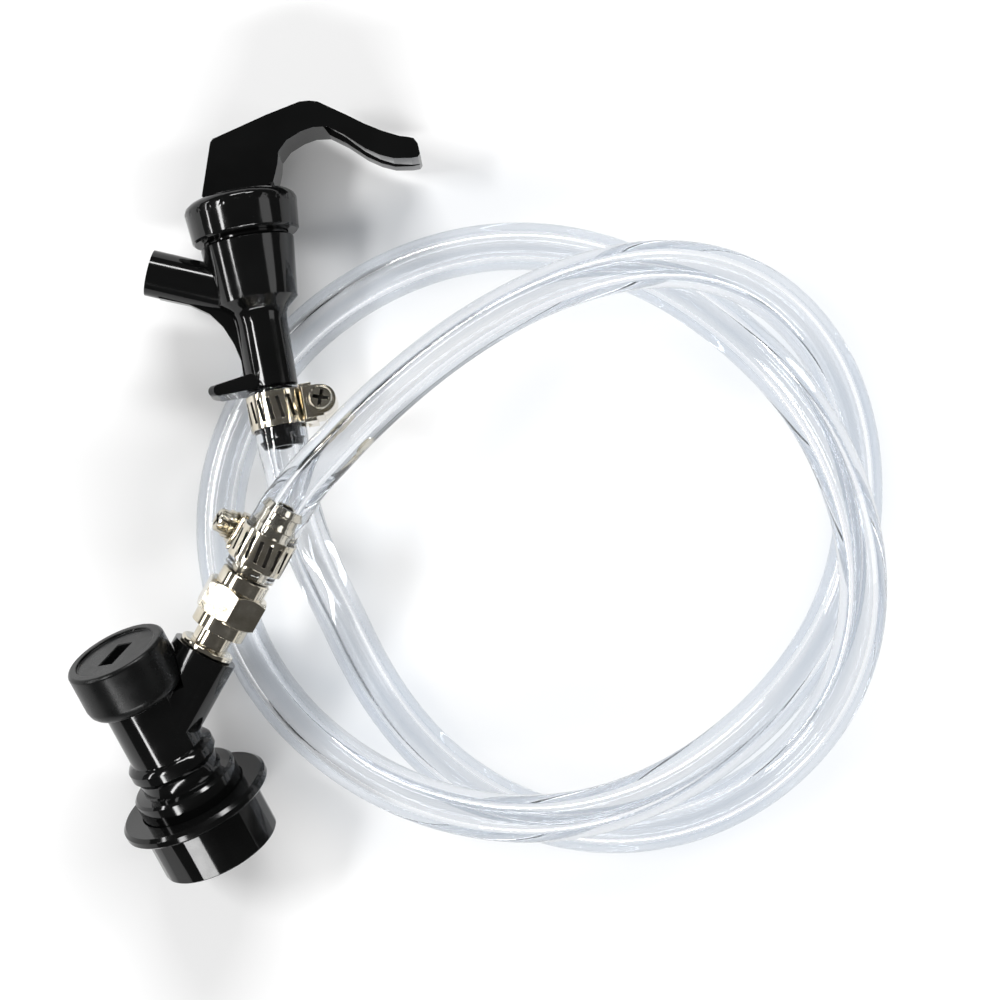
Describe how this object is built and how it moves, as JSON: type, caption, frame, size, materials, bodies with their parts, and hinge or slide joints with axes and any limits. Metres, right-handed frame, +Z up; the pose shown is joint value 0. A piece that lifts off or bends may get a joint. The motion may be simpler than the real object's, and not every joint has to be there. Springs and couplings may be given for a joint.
{
  "type": "keg dispensing line",
  "caption": "Squeeze tap and keg post disconnect joined by a clear looped hose, with worm-drive clamps, swivel nut, sliding lock collar and sprung poppet.",
  "frame": {"origin": "on the table, below the middle of the box round the rigid parts (the tap, the disconnect and their fittings, without the hose)", "axes": "+Z up from the table that the line lies on; +X from the rigid parts towards the loops of hose; +Y from the disconnect towards the tap"},
  "size_m": [0.1876, 0.1804, 0.0435],
  "materials": {
    "black_plastic": "moulded, lightly glossy",
    "cap_plastic": "moulded, satin",
    "collar_plastic": "moulded, satin flange",
    "steel": "turned stainless steel",
    "spring_steel": "drawn stainless wire",
    "clamp_steel": "bright rolled strip",
    "screw_steel": "bright machined",
    "nickel": "nickel plated, polished",
    "clear_hose": "clear flexible vinyl",
    "white_plastic": "natural nylon",
    "black_rubber": "smooth moulded rubber"
  },
  "bodies": {
    "line": {"tap_body": "black_plastic", "bonnet_ring": "black_plastic", "stem_seal": "black_rubber", "stem_guide": "white_plastic", "tap_spring": "spring_steel", "clamp_band_1": "clamp_steel", "clamp_housing_1": "clamp_steel", "clamp_band_2": "clamp_steel", "clamp_housing_2": "clamp_steel", "hose": "clear_hose", "barb_stem": "nickel", "flare_washer": "white_plastic", "outlet_adapter": "nickel", "disconnect_body": "black_plastic", "top_cap": "cap_plastic", "cap_gasket": "black_rubber", "poppet_spring": "spring_steel", "collar_spring": "spring_steel"},
    "stem": {"tap_stem": "steel", "seat_cup": "black_rubber", "lever_pin": "steel"},
    "lever": {"tap_lever": "black_plastic"},
    "collar": {"lock_collar": "collar_plastic"},
    "poppet": {"poppet": "steel", "poppet_seal": "black_rubber"},
    "nut": {"swivel_nut": "nickel"},
    "screw_1": {"clamp_screw_1": "screw_steel"},
    "screw_2": {"clamp_screw_2": "screw_steel"},
    "ball_1": {"lock_ball_1": "steel"},
    "ball_2": {"lock_ball_2": "steel"},
    "ball_3": {"lock_ball_3": "steel"},
    "ball_4": {"lock_ball_4": "steel"}
  },
  "joints": [
    {"name": "stem_lift", "type": "slide", "parent": "line", "child": "stem", "axis": [-0.1826, 0.9756, -0.1219], "range_m": [0, 0.0026], "stiffness_N_per_m": 1900, "springref_m": -0.0015, "deforming": ["tap_spring"]},
    {"name": "lever_squeeze", "type": "hinge", "parent": "stem", "child": "lever", "pos_m": [-0.00364, 0.07497, 0.01198], "axis": [0.0224, -0.1198, -0.9925], "range_deg": [0, 25]},
    {"name": "collar_lift", "type": "slide", "parent": "line", "child": "collar", "axis": [-0.4167, 0.8395, 0.3486], "range_m": [0, 0.004], "stiffness_N_per_m": 140, "springref_m": -0.012, "deforming": ["collar_spring"]},
    {"name": "poppet_lift", "type": "slide", "parent": "line", "child": "poppet", "axis": [-0.4167, 0.8395, 0.3486], "range_m": [0, 0.003], "stiffness_N_per_m": 440, "springref_m": -0.003, "deforming": ["poppet_spring"]},
    {"name": "swivel_nut_turn", "type": "hinge", "parent": "line", "child": "nut", "pos_m": [-0.00312, -0.02595, 0.02864], "axis": [0.4894, 0.8634, 0.1222], "continuous": true},
    {"name": "clamp_screw_1_turn", "type": "hinge", "parent": "line", "child": "screw_1", "pos_m": [0.01747, 0.02035, 0.01905], "axis": [-0.0224, 0.1198, 0.9925], "continuous": true},
    {"name": "clamp_screw_2_turn", "type": "hinge", "parent": "line", "child": "screw_2", "pos_m": [0.00155, -0.0103, 0.02047], "axis": [-0.8383, 0.4273, 0.3386], "continuous": true},
    {"name": "lock_ball_1_slide", "type": "slide", "parent": "line", "child": "ball_1", "axis": [-0.743, -0.0936, -0.6628], "range_m": [0, 0.001]},
    {"name": "lock_ball_2_slide", "type": "slide", "parent": "line", "child": "ball_2", "axis": [-0.5238, -0.5352, 0.6628], "range_m": [0, 0.001]},
    {"name": "lock_ball_3_slide", "type": "slide", "parent": "line", "child": "ball_3", "axis": [0.743, 0.0936, 0.6628], "range_m": [0, 0.001]},
    {"name": "lock_ball_4_slide", "type": "slide", "parent": "line", "child": "ball_4", "axis": [0.5238, 0.5352, -0.6628], "range_m": [0, 0.001]}
  ],
  "couplings": [
    {"joint": "lever_squeeze", "follows": "stem_lift", "rad_per_m": 166.67},
    {"joint": "lock_ball_1_slide", "follows": "collar_lift", "ratio": 0.25},
    {"joint": "lock_ball_2_slide", "follows": "collar_lift", "ratio": 0.25},
    {"joint": "lock_ball_3_slide", "follows": "collar_lift", "ratio": 0.25},
    {"joint": "lock_ball_4_slide", "follows": "collar_lift", "ratio": 0.25}
  ]
}
